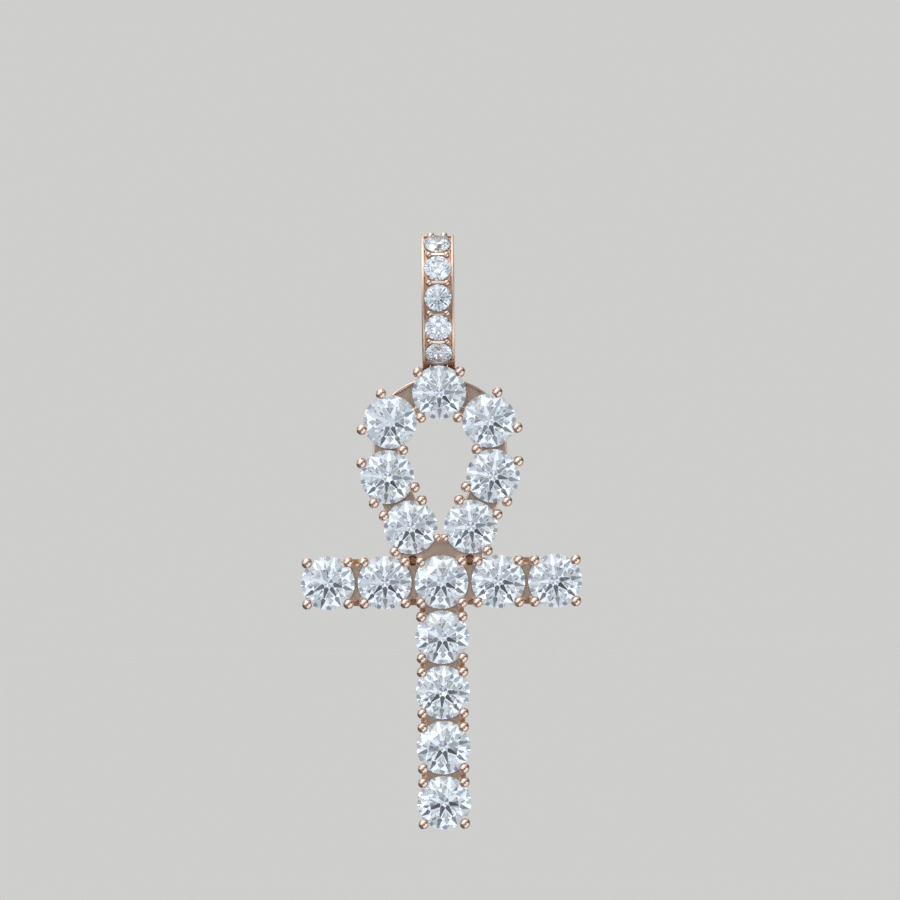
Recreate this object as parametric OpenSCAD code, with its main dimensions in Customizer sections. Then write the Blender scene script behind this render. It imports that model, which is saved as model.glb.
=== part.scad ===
// Ankh pendant: a prong-set ankh that swings on a pin in the ears of a stone-set bail.
// X runs to the right, Z up, and the front faces -Y. Sizes are in millimetres.
// The origin is the inside of the bail's crest, where a chain bears.

/* [Stones] */
// Diameter of the main stones
stone_d = 4; // [3.6:0.1:4.4]
// Diameter of the stones on the bail
bail_stone_d = 2; // [1.7:0.05:2.05]
// Width of the table as a share of a stone's diameter
table_share = 0.57; // [0.5:0.01:0.64]
// Height of the crown as a share of a stone's diameter
crown_share = 0.16; // [0.13:0.01:0.18]
// Thickness of the girdle as a share of a stone's diameter
girdle_share = 0.03; // [0.02:0.005:0.04]
// Depth of the pavilion as a share of a stone's diameter
pavilion_share = 0.43; // [0.4:0.01:0.44]
// Gap between a stone and the metal round it
stone_gap = 0.03; // [0.02:0.01:0.05]
// How many degrees farther round its own axis each stone is set than the one before it
stone_turn = 17; // [0:1:44]

/* [Layout] */
// Gap between neighbouring stones of the crossbar
bar_gap = 0.23; // [0.12:0.01:0.4]
// Gap between neighbouring stones of the stem
stem_gap = 0.11; // [0.1:0.01:0.4]
// Gap between neighbouring stones up each side of the loop
side_gap = 0.125; // [0.1:0.005:0.3]
// Gap between the top stone of the loop and its neighbours
top_gap = 0.27; // [0.15:0.01:0.4]
// Gap between the two lowest stones of the loop
foot_gap = 0.48; // [0.4:0.01:0.7]
// Gap between the lowest stones of the loop and the stone at the crossing
crossing_gap = 0.67; // [0.6:0.01:0.9]
// Lean of the lower sides of the loop, measured from the crossbar
lower_lean = 65.7; // [62:0.1:69]
// Lean of the upper sides of the loop, measured from the crossbar
upper_lean = 93.4; // [91:0.1:96]

/* [Ankh frame] */
// Depth of the back of the frame behind the middle of the stones' girdles
frame_back = 2.3; // [2:0.05:2.8]
// Depth of the front of the plate behind the middle of the girdles
frame_front = 0.3; // [0.25:0.05:0.5]
// How far the wall of each cup lies inside its stone's edge
cup_inset = 0.07; // [0.02:0.01:0.15]
// Width of the plate along the crossbar
bar_w = 3.5; // [3:0.1:3.7]
// Width of the plate down the stem
stem_w = 3.3; // [3:0.1:3.6]
// Width of the band round the loop
band_w = 2.4; // [2:0.1:2.8]
// Thickness of the raised rim on the outer edge of the band
rim_t = 0.22; // [0.15:0.01:0.35]
// Depth of the sunk face of the band below the plate's front
band_sink = 0.4; // [0.2:0.05:0.6]
// Height of the web that fills the corner between loop and crossbar
web_top = 3.3; // [3:0.05:3.5]
// How far that web runs out past the centres of the loop's lowest stones
web_out = 0.8; // [0.6:0.05:1]
// Radius of the open hole behind each stone
azure_r = 1; // [0.7:0.05:1.15]

/* [Prongs] */
// Diameter of the ball on each prong
ball_d = 0.83; // [0.7:0.01:0.9]
// Diameter of a prong's shank
prong_d = 0.66; // [0.55:0.01:0.7]
// Distance from a stone's edge out to the centre of its prongs
prong_out = 0.17; // [0.12:0.01:0.25]
// The same distance where two stones share a prong
shared_out = 0.33; // [0.28:0.01:0.4]
// How far the ball's centre stands in front of the girdles
ball_rise = 0.42; // [0.38:0.01:0.5]
// How far the foot of a prong leans in towards its stone
prong_lean = 0.12; // [0:0.01:0.2]
// Distance from the back of the frame to the feet of the prongs
prong_foot = 0.1; // [0.05:0.05:0.3]
// Distance from the lowest stones of the loop to the small pair of prongs between them
small_out = 0.12; // [0.1:0.01:0.14]
// Direction of the small pair, seen from their own stones
small_turn = 202; // [198:1:206]
// Size of the small pair beside the other prongs
small_share = 0.83; // [0.7:0.01:0.9]

/* [Bail] */
// Width of the bail from side to side
bail_w = 2.45; // [2.4:0.05:2.8]
// Wall of the bail
bail_wall = 1; // [0.95:0.01:1.2]
// Outer radius of the crest
crest_r = 3.05; // [2.8:0.05:3.2]
// Extra metal on each face of the crest, where a chain wears it
crest_extra = 0.03; // [0.02:0.01:0.1]
// Outer radius of the two bowed legs
leg_r = 6.1; // [5.8:0.1:6.6]
// Outer radius on which the legs close at the pin
tip_r = 0.95; // [0.9:0.01:1]
// Depth of the bail from its middle to its front
bail_half_depth = 3.563; // [3.4:0.01:3.8]
// Distance between the bail's stones along its front
bail_pitch = 2.25; // [2.15:0.01:2.4]
// Shift of the row of stones down the bail's front
bail_row_shift = 0.12; // [0:0.01:0.15]
// Radius of the beads between the bail's stones
bead_r = 0.24; // [0.18:0.01:0.28]
// Radius of the two beads that end the row at the crest
crest_bead_r = 0.3; // [0.25:0.01:0.36]
// Distance of those two beads from the middle of the bail's width
crest_bead_x = 0.49; // [0.4:0.01:0.6]
// Distance of those two beads from the first stone, as a share of the row's pitch
crest_bead_at = 0.66; // [0.62:0.01:0.7]
// How far those two beads are sunk in the bail's face
crest_bead_sink = 0.08; // [0.05:0.01:0.15]
// Radius of the open hole behind each of the bail's stones
bail_azure_r = 0.5; // [0.4:0.05:0.6]
// Thickness of the rail beside the beads
rail_t = 0.2; // [0.15:0.01:0.25]
// Width of the slit between the beads and the rail
slit_w = 0.1; // [0.06:0.01:0.14]
// Depth of that slit
slit_deep = 0.3; // [0.2:0.01:0.4]
// Flat land left between the beads and the slit
bead_land = 0.03; // [0.02:0.01:0.05]

/* [Hinge] */
// Diameter of the pin
pin_d = 0.7; // [0.6:0.05:0.8]
// Gap between the pin and its holes, all round
pin_gap = 0.03; // [0.02:0.01:0.05]
// Height of the pin above the centre of the top stone
pin_rise = 2.6; // [2.5:0.01:2.8]
// Depth of the pin behind the girdles, close to the ankh's centre of mass
pin_depth = 1.2; // [1.18:0.01:1.5]
// Width of the knuckle on the ankh
knuckle_w = 1.2; // [1:0.05:1.3]
// Outer radius of the knuckle
knuckle_r = 0.85; // [0.75:0.01:0.9]
// Thickness of the neck that carries the knuckle
neck_t = 1.1; // [0.8:0.05:1.3]
// Outer radius of the two ears of the bail
ear_r = 1; // [0.97:0.01:1.05]
// Gap between the knuckle and each ear
ear_gap = 0.07; // [0.05:0.01:0.12]
// Clear space between the knuckle's slot and the ears
turn_gap = 0.1; // [0.06:0.01:0.15]
// Clear space on the ankh round the end of the bail, which sets how far back it can swing
swing_gap = 0.3; // [0.2:0.01:0.35]

/* [Hidden] */
$fn = 96;
SLACK = 1; // how far a cutter runs past what it cuts
LAP = 0.5; // degrees that the legs of the bail run on into its crest

// Stone positions, as [x, z] from the centre of the crossing
cup_r = stone_d / 2 - cup_inset;
foot_x = (stone_d + foot_gap) / 2;
foot_z = sqrt(pow(stone_d + crossing_gap, 2) - pow(foot_x, 2));
side_pitch = stone_d + side_gap;
foot = [foot_x, foot_z];
middle = foot + side_pitch * [cos(lower_lean), sin(lower_lean)];
shoulder = middle + side_pitch * [cos(upper_lean), sin(upper_lean)];
crown = [0, shoulder.y + sqrt(pow(stone_d + top_gap, 2) - pow(shoulder.x, 2))];
bar_pitch = stone_d + bar_gap;
stem_pitch = stone_d + stem_gap;

function left(place) = [-place.x, place.y];

// One row for each main stone: name, place, and the directions of the prongs that are its own
NAME = 0;
PLACE = 1;
PRONGS = 2;
CORNERS = [45, 135, 225, 315];
STEM_COUNT = 4;
BAR_SIDE = 2; // stones on each side of the crossing
LOOP_RIGHT = [
    ["shoulder", shoulder, [73, -15]],
    ["middle", middle, [29, 201, -62]],
    ["foot", foot, [113, 24, -56]],
];
function mirrored(angles) = [for (a = angles) 180 - a];
SEATS = concat(
    [["loop_stone_top", crown, [44, 136]]],
    [for (row = LOOP_RIGHT) [str("loop_stone_", row[NAME], "_right"), row[PLACE], row[PRONGS]]],
    [for (row = LOOP_RIGHT) [str("loop_stone_", row[NAME], "_left"), left(row[PLACE]), mirrored(row[PRONGS])]],
    [for (i = [-BAR_SIDE:BAR_SIDE]) [str("bar_stone_", i + BAR_SIDE + 1), [i * bar_pitch, 0], CORNERS]],
    [for (i = [1:STEM_COUNT]) [str("stem_stone_", i), [0, -i * stem_pitch], CORNERS]]
);

// Prongs that two stones share, inside the loop, and the small pair between its two lowest stones
function between(a, b, reach) =
    let (mid = (a + b) / 2, along = (b - a) / norm(b - a), aside = [along.y, -along.x])
    mid + aside * sqrt(pow(reach, 2) - pow(norm(b - a) / 2, 2));
shared_reach = stone_d / 2 + shared_out;
SHARED = [for (pair = [[crown, shoulder], [shoulder, middle]])
    [between(pair[0], pair[1], shared_reach), (pair[0] + pair[1]) / 2]];
small_reach = stone_d / 2 + small_out;

// Bail, as [depth towards the front, height] from the middle of the two leg circles
leg_in = leg_r - bail_half_depth;
crest_up = sqrt(pow(leg_r - crest_r, 2) - pow(leg_in, 2));
tip_down = sqrt(pow(leg_r - tip_r, 2) - pow(leg_in, 2));
crest_turn = atan2(crest_up, leg_in);
tip_turn = atan2(tip_down, leg_in);
leg_z = -(crest_up + crest_r - bail_wall - crest_extra);
pin_z = leg_z - tip_down;
crossing_z = pin_z - pin_rise - crown.y;
BAIL_COUNT = 5;

// The direction in which the bail's front faces, at a distance up from its widest point
leg_run = leg_r * crest_turn * PI / 180;
function normal_at(s) = s <= leg_run
    ? s / leg_r * 180 / PI
    : crest_turn + (s - leg_run) / crest_r * 180 / PI;
function row_at(i) = (BAIL_COUNT - 1) / 2 * bail_pitch - i * bail_pitch - bail_row_shift;

bore_r = pin_d / 2 + pin_gap;
slot_w = knuckle_w + 2 * ear_gap;
slot_r = ear_r + turn_gap;
swing_r = ear_r + swing_gap;

// A round brilliant with its axis on Z and the middle of its girdle at the origin.
// The girdle is scalloped, so that every facet is flat.
STAR_SHARE = 0.79; // radius of the points between table and girdle
HALF_SHARE = 0.26; // radius of the points where the lower half facets end
FACET = 45; // degrees from one main facet to the next
SCALLOP = FACET / 4; // degrees from one point of the girdle to the next
function spot(r, a, z) = [r * cos(a), r * sin(a), z];
function plane_z(a, b, c, p) =
    let (n = cross(b - a, c - a))
    a.z - (n.x * (p.x - a.x) + n.y * (p.y - a.y)) / n.z;
function rim_spot(r, j, z, inner, slope_z) =
    j % 2 == 0
        ? spot(r, j * SCALLOP, z)
        : let (k = floor(j / 4), half = j % 4 < 2 ? 0 : 2)
          let (s = spot(inner, (k + 0.5) * FACET, slope_z))
          let (a = spot(r, (4 * k + half) * SCALLOP, z), b = spot(r, (4 * k + half + 2) * SCALLOP, z))
          let (flat = spot(r, j * SCALLOP, 0))
          [flat.x, flat.y, plane_z(s, a, b, flat)];

module brilliant(d) {
    r = d / 2;
    edge = girdle_share * d / 2;
    top = edge + crown_share * d;
    culet = edge + pavilion_share * d;
    table_r = table_share * r;
    star_r = STAR_SHARE * r;
    half_r = HALF_SHARE * r;
    lean = cos(FACET / 2);
    star_z = top - (top - edge) * (star_r * lean - table_r) / (r - table_r);
    half_z = -culet + (culet - edge) * half_r * lean / r;
    eighths = [0:7];
    table = [for (k = eighths) spot(table_r, k * FACET, top)];
    star = [for (k = eighths) spot(star_r, (k + 0.5) * FACET, star_z)];
    upper = [for (j = [0:31]) rim_spot(r, j, edge, star_r, star_z)];
    lower = [for (j = [0:31]) rim_spot(r, j, -edge, half_r, half_z)];
    half = [for (k = eighths) spot(half_r, (k + 0.5) * FACET, half_z)];
    points = concat(table, star, upper, lower, half, [[0, 0, -culet]]);
    // Where each ring of points starts in the list
    STAR = len(table);
    UPPER = STAR + len(star);
    LOWER = UPPER + len(upper);
    HALF = LOWER + len(lower);
    CULET = HALF + len(half);
    polyhedron(
        points = points,
        faces = concat(
            [[for (k = [7:-1:0]) k]],
            [for (k = eighths) [k, (k + 1) % 8, STAR + k]],
            [for (k = eighths) [k, STAR + k, UPPER + 4 * k, STAR + (k + 7) % 8]],
            [for (k = eighths) [STAR + k, UPPER + 4 * k + 2, UPPER + 4 * k + 1, UPPER + 4 * k]],
            [for (k = eighths) [STAR + k, UPPER + (4 * k + 4) % 32, UPPER + 4 * k + 3, UPPER + 4 * k + 2]],
            [for (j = [0:31]) [UPPER + j, UPPER + (j + 1) % 32, LOWER + (j + 1) % 32, LOWER + j]],
            [for (k = eighths) [HALF + k, LOWER + 4 * k, LOWER + 4 * k + 1, LOWER + 4 * k + 2]],
            [for (k = eighths) [HALF + k, LOWER + 4 * k + 2, LOWER + 4 * k + 3, LOWER + (4 * k + 4) % 32]],
            [for (k = eighths) [CULET, HALF + (k + 7) % 8, LOWER + 4 * k, HALF + k]]
        )
    );
}

// The room that a stone needs in its seat: its own profile with the gap all round, turned about Z
module seat_room(d) {
    r = d / 2 + stone_gap;
    edge = girdle_share * d / 2 + stone_gap / 2;
    top = edge + crown_share * d + stone_gap;
    culet = edge + pavilion_share * d + stone_gap;
    rotate_extrude()
        polygon([[0, -culet], [r, -edge], [r, edge], [table_share * r, top], [0, top]]);
}

// The ankh's own frame: the centre of the crossing, in the plane of the girdles
module in_ankh() {
    translate([0, -pin_depth, crossing_z])
        children();
}

// Places its children at [x, z], with their Z axis towards the front
module facing_front(place) {
    translate([place.x, 0, place.y])
        rotate([90, 0, 0])
            children();
}

// Extrudes an outline drawn in X and Z from one depth back to another
module slab(front, back) {
    translate([0, back, 0])
        rotate([90, 0, 0])
            linear_extrude(back - front)
                children();
}

module main_stone(i) {
    color("aliceblue")
        in_ankh()
            facing_front(SEATS[i][PLACE])
                rotate([0, 0, i * stone_turn])
                    brilliant(stone_d);
}

// A strip of the plate between two places, as an outline
module strip(a, b, w) {
    run = b - a;
    translate(a)
        rotate(atan2(run.y, run.x))
            translate([0, -w / 2])
                square([norm(run), w]);
}

// The arc of the band through the top stone and its two neighbours
arc_drop = crown.y - shoulder.y;
arc_r = (pow(shoulder.x, 2) + pow(arc_drop, 2)) / (2 * arc_drop);
arc_z = crown.y - arc_r;
module band_arc(inner, outer) {
    difference() {
        translate([0, arc_z])
            circle(outer);
        translate([0, arc_z])
            circle(inner);
        translate([-outer - SLACK, arc_z - outer - SLACK])
            square([2 * outer + 2 * SLACK, outer + SLACK + shoulder.y - arc_z]);
    }
}

module plate() {
    web_x = foot.x + web_out;
    slab(frame_front, frame_back) {
        strip([-BAR_SIDE * bar_pitch, 0], [BAR_SIDE * bar_pitch, 0], bar_w);
        strip([0, -STEM_COUNT * stem_pitch], [0, 0], stem_w);
        translate([-web_x, 0])
            square([2 * web_x, web_top]);
    }
    for (side = [0, 1])
        mirror([side, 0, 0])
            slab(frame_front + band_sink / 2, frame_back) {
                strip(shoulder, middle, band_w);
                strip(middle, foot, band_w);
                strip(foot, [0, 0], band_w);
                for (row = SHARED)
                    strip(row[0], row[1], prong_d);
            }
    slab(frame_front + band_sink, frame_back)
        band_arc(arc_r - band_w / 2, arc_r + band_w / 2);
    slab(frame_front, frame_back)
        band_arc(arc_r + band_w / 2 - rim_t, arc_r + band_w / 2);
}

module cups() {
    for (seat = SEATS)
        facing_front(seat[PLACE])
            translate([0, 0, -frame_back])
                cylinder(h = frame_back - frame_front, r = cup_r);
}

// One prong from the back of the frame to its ball, leaning out by lean in the direction turn
module prong(place, turn, lean, size) {
    length = ball_rise + frame_back - prong_foot;
    facing_front(place)
        rotate([0, 0, turn])
            translate([0, 0, ball_rise])
                rotate([0, 180 + atan2(lean, length), 0]) {
                    cylinder(h = length, d = prong_d * size);
                    sphere(d = ball_d * size);
                }
}

module prongs() {
    reach = stone_d / 2 + prong_out;
    for (seat = SEATS, turn = seat[PRONGS])
        prong(seat[PLACE] + reach * [cos(turn), sin(turn)], turn, prong_lean, 1);
    for (side = [0, 1])
        mirror([side, 0, 0]) {
            for (row = SHARED)
                prong(row[0], 0, 0, 1);
            prong(foot + small_reach * [cos(small_turn), sin(small_turn)], small_turn, 0, small_share);
        }
}

// A cylinder on the axis of the pin
module round_pin_axis(w, r) {
    translate([0, pin_depth, crown.y + pin_rise])
        rotate([0, 90, 0])
            cylinder(h = w, r = r, center = true);
}

// The knuckle stands up from the cup of the top stone to the pin
module knuckle() {
    round_pin_axis(knuckle_w, knuckle_r);
    translate([-knuckle_w / 2, pin_depth - neck_t / 2, crown.y + azure_r])
        cube([knuckle_w, neck_t, pin_rise - azure_r]);
}

module ankh_frame() {
    color("rosybrown")
        in_ankh()
            difference() {
                union() {
                    difference() {
                        union() {
                            plate();
                            cups();
                            prongs();
                        }
                        round_pin_axis(bail_w + 2 * turn_gap, swing_r);
                    }
                    knuckle();
                }
                for (seat = SEATS)
                    facing_front(seat[PLACE]) {
                        seat_room(stone_d);
                        translate([0, 0, -frame_back - SLACK])
                            cylinder(h = frame_back + SLACK - girdle_share * stone_d, r = azure_r);
                    }
                round_pin_axis(knuckle_w + 2 * SLACK, bore_r);
            }
}

// Places its children on the bail's front, a distance up from its widest point, with Z outwards
module on_front(s) {
    turn = normal_at(s);
    centre = s <= leg_run ? [-leg_in, 0] : [0, crest_up];
    reach = s <= leg_run ? leg_r : crest_r;
    translate([0, -(centre.x + reach * cos(turn)), leg_z + centre.y + reach * sin(turn)])
        rotate([90 - turn, 0, 0])
            children();
}

// A stretch of the bail's wall, bent to an outer radius round an axis along X, with extra metal on each face
module bend(centre, radius, from, to, extra) {
    translate([0, -centre.x, leg_z + centre.y])
        rotate([0, 0, -90])
            rotate([90, 0, 0])
                rotate([0, 0, from])
                    rotate_extrude(angle = to - from)
                        translate([radius - bail_wall - extra, -bail_w / 2 - extra])
                            square([bail_wall + 2 * extra, bail_w + 2 * extra]);
}

module bail_stone(i) {
    color("aliceblue")
        on_front(row_at(i - 1))
            rotate([0, 0, i * stone_turn])
                brilliant(bail_stone_d);
}

// Beads and a small bar between two stones, with a slit on each side
bead_x = bail_w / 2 - rail_t - slit_w - bead_land - bead_r;
module bead_pair(s) {
    on_front(s) {
        for (side = [-1, 1])
            translate([side * bead_x, 0, 0])
                sphere(r = bead_r);
        cube([2 * bead_x, bead_r, bead_r], center = true);
    }
}

module bead_slits(s) {
    on_front(s)
        for (side = [-1, 1])
            translate([side * (bail_w / 2 - rail_t - slit_w / 2), 0, 0])
                cube([slit_w, bail_pitch - bail_stone_d / 2 - bead_r, 2 * slit_deep], center = true);
}

module bail() {
    color("rosybrown")
        difference() {
            union() {
                bend([0, crest_up], crest_r, crest_turn, 180 - crest_turn, crest_extra);
                bend([-leg_in, 0], leg_r, -tip_turn, crest_turn + LAP, 0);
                bend([leg_in, 0], leg_r, 180 - crest_turn - LAP, 180 + tip_turn, 0);
                translate([0, 0, pin_z])
                    rotate([0, 90, 0])
                        cylinder(h = bail_w, r = ear_r, center = true);
                for (i = [0:BAIL_COUNT - 2])
                    bead_pair(row_at(i + 0.5));
                on_front(row_at(-crest_bead_at))
                    for (side = [-1, 1])
                        translate([side * crest_bead_x, 0, -crest_bead_sink])
                            sphere(r = crest_bead_r);
            }
            for (i = [0:BAIL_COUNT - 1])
                on_front(row_at(i)) {
                    seat_room(bail_stone_d);
                    translate([0, 0, -bail_wall - SLACK])
                        cylinder(h = bail_wall + SLACK - girdle_share * bail_stone_d, r = bail_azure_r);
                }
            for (i = [0:BAIL_COUNT - 2])
                bead_slits(row_at(i + 0.5));
            translate([0, 0, pin_z])
                rotate([0, 90, 0]) {
                    cylinder(h = slot_w, r = slot_r, center = true);
                    cylinder(h = bail_w + 2 * SLACK, r = bore_r, center = true);
                }
        }
}

module hinge_pin() {
    color("tan")
        translate([0, 0, pin_z])
            rotate([0, 90, 0])
                cylinder(h = bail_w, d = pin_d, center = true);
}

ankh_frame();
bail();
hinge_pin();
for (i = [0:len(SEATS) - 1])
    main_stone(i);
for (i = [1:BAIL_COUNT])
    bail_stone(i);
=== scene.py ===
# %% [markdown]
# An ankh pendant: sixteen round stones in four-prong seats, joined by a plate of rose-gold plated brass,
# that swing on a pin in the ears of a stone-set bail.
# The solids of the real object come in as a fixed frame: every piece is at its real size there, and nothing
# moves. What is left for this file is the finish. The stones keep their solids and get the optics of cubic
# zirconia. The three metal solids have knife-sharp edges, so each is modelled again here with the soft
# edges of a polished casting, in the same place.

# %% Load the frame
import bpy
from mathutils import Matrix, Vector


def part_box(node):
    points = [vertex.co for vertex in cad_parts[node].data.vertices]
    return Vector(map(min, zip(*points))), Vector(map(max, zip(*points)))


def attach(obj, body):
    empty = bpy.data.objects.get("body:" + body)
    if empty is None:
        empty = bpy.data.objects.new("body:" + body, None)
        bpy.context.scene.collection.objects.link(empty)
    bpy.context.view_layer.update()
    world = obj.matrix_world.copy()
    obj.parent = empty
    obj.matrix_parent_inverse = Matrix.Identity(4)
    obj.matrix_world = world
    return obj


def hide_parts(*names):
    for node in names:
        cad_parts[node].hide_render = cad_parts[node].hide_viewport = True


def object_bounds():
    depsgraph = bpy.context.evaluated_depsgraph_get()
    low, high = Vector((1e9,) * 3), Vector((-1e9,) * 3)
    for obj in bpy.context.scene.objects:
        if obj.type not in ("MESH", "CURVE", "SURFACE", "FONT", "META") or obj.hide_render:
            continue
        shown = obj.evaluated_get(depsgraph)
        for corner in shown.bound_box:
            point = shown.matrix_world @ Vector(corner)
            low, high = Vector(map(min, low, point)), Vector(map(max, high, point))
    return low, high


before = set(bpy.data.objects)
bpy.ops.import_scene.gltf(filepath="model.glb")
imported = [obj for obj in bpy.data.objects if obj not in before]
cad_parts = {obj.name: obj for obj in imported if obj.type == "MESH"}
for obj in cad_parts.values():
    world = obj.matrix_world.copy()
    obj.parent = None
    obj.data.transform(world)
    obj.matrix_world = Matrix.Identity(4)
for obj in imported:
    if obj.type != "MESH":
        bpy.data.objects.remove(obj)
cad_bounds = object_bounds()

# %% Python's and Blender's own modules
import math
import bmesh
import bpy
from mathutils import Matrix, Vector

# %% [markdown]
# Jewellers think in millimetres, so the metal is modelled in millimetres and made a thousand times smaller
# at the end. Its sizes are those of the solids that it replaces. The stones tell the rest: their places,
# their diameter and the depth of their girdles are read from the frame, so the seats are sure to fit them.
# A girdle is the widest part of a stone, and depths are counted backwards from the middle of the girdles.

# %% Sizes that several pieces share
MM = 0.001
FRAME_FRONT = 0.3
FRAME_BACK = 2.3
STONE_GAP = 0.03
LIGHT_HOLE_R = 1.0

# %% Proportions of a round brilliant, as shares of its diameter
GIRDLE = 0.03
CROWN = 0.16
PAVILION = 0.43
TABLE = 0.57


# %% Read the stones' places from the frame
def stone_size(name):
    """The diameter of a stone that faces the front, from its depth, whichever way it is turned."""
    low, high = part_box(name)
    return (high.y - low.y) / MM / (CROWN + GIRDLE + PAVILION)


def girdle_centre(name):
    """The middle of a front stone's girdle, in millimetres."""
    low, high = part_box(name)
    table_to_girdle = (GIRDLE / 2 + CROWN) * stone_size(name)
    return Vector(((low.x + high.x) / 2 / MM, low.y / MM + table_to_girdle, (low.z + high.z) / 2 / MM))


def place(name):
    """A stone's centre as (x, z) from the crossing."""
    centre = girdle_centre(name) - crossing
    return Vector((centre.x, centre.z))


crossing = girdle_centre("bar_stone_3")
STONE_D = stone_size("bar_stone_3")
print("stones of %.2f mm, crossing at" % STONE_D, [round(v, 3) for v in crossing])

# %% [markdown]
# Each stone is held by prongs at the angles where the photo shows them, in degrees, counted from the right
# and upwards. Places could be typed in as well, but an angle keeps a prong on its stone's edge. The loop
# mirrors left and right, so only its right half is given.

# %% Seats and their prongs
TOP_PRONGS = (44, 136)
LOOP_PRONGS = {"shoulder": (73, -15), "middle": (29, 201, -62), "foot": (113, 24, -56)}
CORNERS = (45, 135, 225, 315)
seats = [(place("loop_stone_top"), TOP_PRONGS)]
for level, turns in LOOP_PRONGS.items():
    mirrored_turns = tuple(180 - turn for turn in turns)
    seats.append((place("loop_stone_%s_right" % level), turns))
    seats.append((place("loop_stone_%s_left" % level), mirrored_turns))
for name in sorted(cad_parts):
    if name.startswith(("bar_stone", "stem_stone")):
        seats.append((place(name), CORNERS))
print(len(seats), "seats")

# %% [markdown]
# Inside the top of the loop a prong stands between two stones and holds both. It is equally far from the
# two, so its place needs no measuring: it follows from theirs.

# %% Places of the shared prongs
SHARED_OUT = 0.33
top = place("loop_stone_top")
shoulder = place("loop_stone_shoulder_right")
middle = place("loop_stone_middle_right")
foot = place("loop_stone_foot_right")


def inside_both(a, b):
    """The place inside the loop that is equally far from two stones."""
    reach = STONE_D / 2 + SHARED_OUT
    run = b - a
    aside = Vector((run.y, -run.x)).normalized()
    return (a + b) / 2 + aside * math.sqrt(reach ** 2 - run.length_squared / 4)


shared = []
for a, b in ((top, shoulder), (shoulder, middle)):
    shared.append((inside_both(a, b), (a + b) / 2))
print(len(shared), "shared prongs on each side")


# %% [markdown]
# Modelling goes as by hand: add a primitive, go into edit mode, pick faces by where they are, and extrude,
# bisect or bevel them. The next cells have the few steps that every piece below repeats. Blender's
# operators work on whatever is selected, and the frame's solids come in selected, so each piece is first
# made the only one.

# %% Selecting, sizing and copying a piece
def only(piece):
    if bpy.context.mode != "OBJECT":
        bpy.ops.object.mode_set(mode="OBJECT")
    bpy.ops.object.select_all(action="DESELECT")
    piece.select_set(True)
    bpy.context.view_layer.objects.active = piece


def begin(name, scale=(1, 1, 1)):
    """Names the primitive that was just added, sizes it and puts its place into its mesh."""
    piece = bpy.context.object
    piece.name = name
    piece.scale = scale
    only(piece)
    bpy.ops.object.transform_apply(location=True, rotation=True, scale=True)
    return piece


def copy_of(piece, matrix):
    """A copy with a mesh of its own, moved by a matrix."""
    copy = piece.copy()
    copy.data = piece.data.copy()
    copy.data.transform(matrix)
    bpy.context.collection.objects.link(copy)
    return copy


def joined(name, pieces):
    only(pieces[0])
    for piece in pieces:
        piece.select_set(True)
    bpy.ops.object.join()
    pieces[0].name = name
    return pieces[0]


# %% Edit mode
class Editing:
    """Edit mode on one piece. Faces and edges are picked by a test of their middle and direction."""

    def __init__(self, piece):
        self.piece = piece

    def __enter__(self):
        only(self.piece)
        bpy.ops.object.mode_set(mode="EDIT")
        bpy.ops.mesh.select_mode(type="FACE")
        bpy.ops.mesh.select_all(action="SELECT")
        return self

    def __exit__(self, *error):
        bpy.ops.object.mode_set(mode="OBJECT")

    def pick_faces(self, test):
        bpy.ops.mesh.select_mode(type="FACE")
        bpy.ops.mesh.select_all(action="DESELECT")
        mesh = bmesh.from_edit_mesh(self.piece.data)
        for face in mesh.faces:
            face.select_set(test(face.calc_center_median(), face.normal))
        bmesh.update_edit_mesh(self.piece.data)

    def pick_edges(self, test):
        bpy.ops.mesh.select_mode(type="EDGE")
        bpy.ops.mesh.select_all(action="DESELECT")
        mesh = bmesh.from_edit_mesh(self.piece.data)
        for edge in mesh.edges:
            a, b = (v.co for v in edge.verts)
            edge.select_set(test((a + b) / 2, (b - a).normalized()))
        bmesh.update_edit_mesh(self.piece.data)

    def turn_faces_outwards(self):
        bpy.ops.mesh.select_all(action="SELECT")
        bpy.ops.mesh.normals_make_consistent(inside=False)


# %% [markdown]
# A casting is one skin, so its parts are added and cut with booleans. Blender's Manifold solver is exact
# and quick on closed pieces, and it keeps each face's material. So every piece is given its finish before
# it is added or cut away, and the faces that it leaves behind carry that finish.

# %% Finishes and booleans
POLISHED = 0
SATIN = 1
# As cast goes on the cut recesses: a rougher finish, whose darker, redder tone is painted shade.
AS_CAST_PAINTED_SHADE = 2
FINISH_COUNT = 3


def finished(piece, finish):
    """Notes on a piece's faces which finish they get."""
    while len(piece.data.materials) < FINISH_COUNT:
        piece.data.materials.append(None)
    piece.data.polygons.foreach_set("material_index", [finish] * len(piece.data.polygons))
    return piece


def merged(piece, operation, tools, finish):
    """Adds or cuts away closed pieces of one finish, one after the other, and removes them."""
    only(piece)
    for tool in tools:
        finished(tool, finish)
        step = piece.modifiers.new(operation.lower(), "BOOLEAN")
        step.operation = operation
        step.solver = "MANIFOLD"
        step.object = tool
        bpy.ops.object.modifier_apply(modifier=step.name)
        bpy.data.objects.remove(tool)


# %% [markdown]
# Round parts are turned like on a lathe: a disc is extruded from ring to ring, and each new ring is scaled
# to its radius. The axis is Z, and the front of a seat is +Z, until the copies are stood up facing the
# viewer. A cylinder with bevels would do for the simplest of them, but this one way makes them all.

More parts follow.
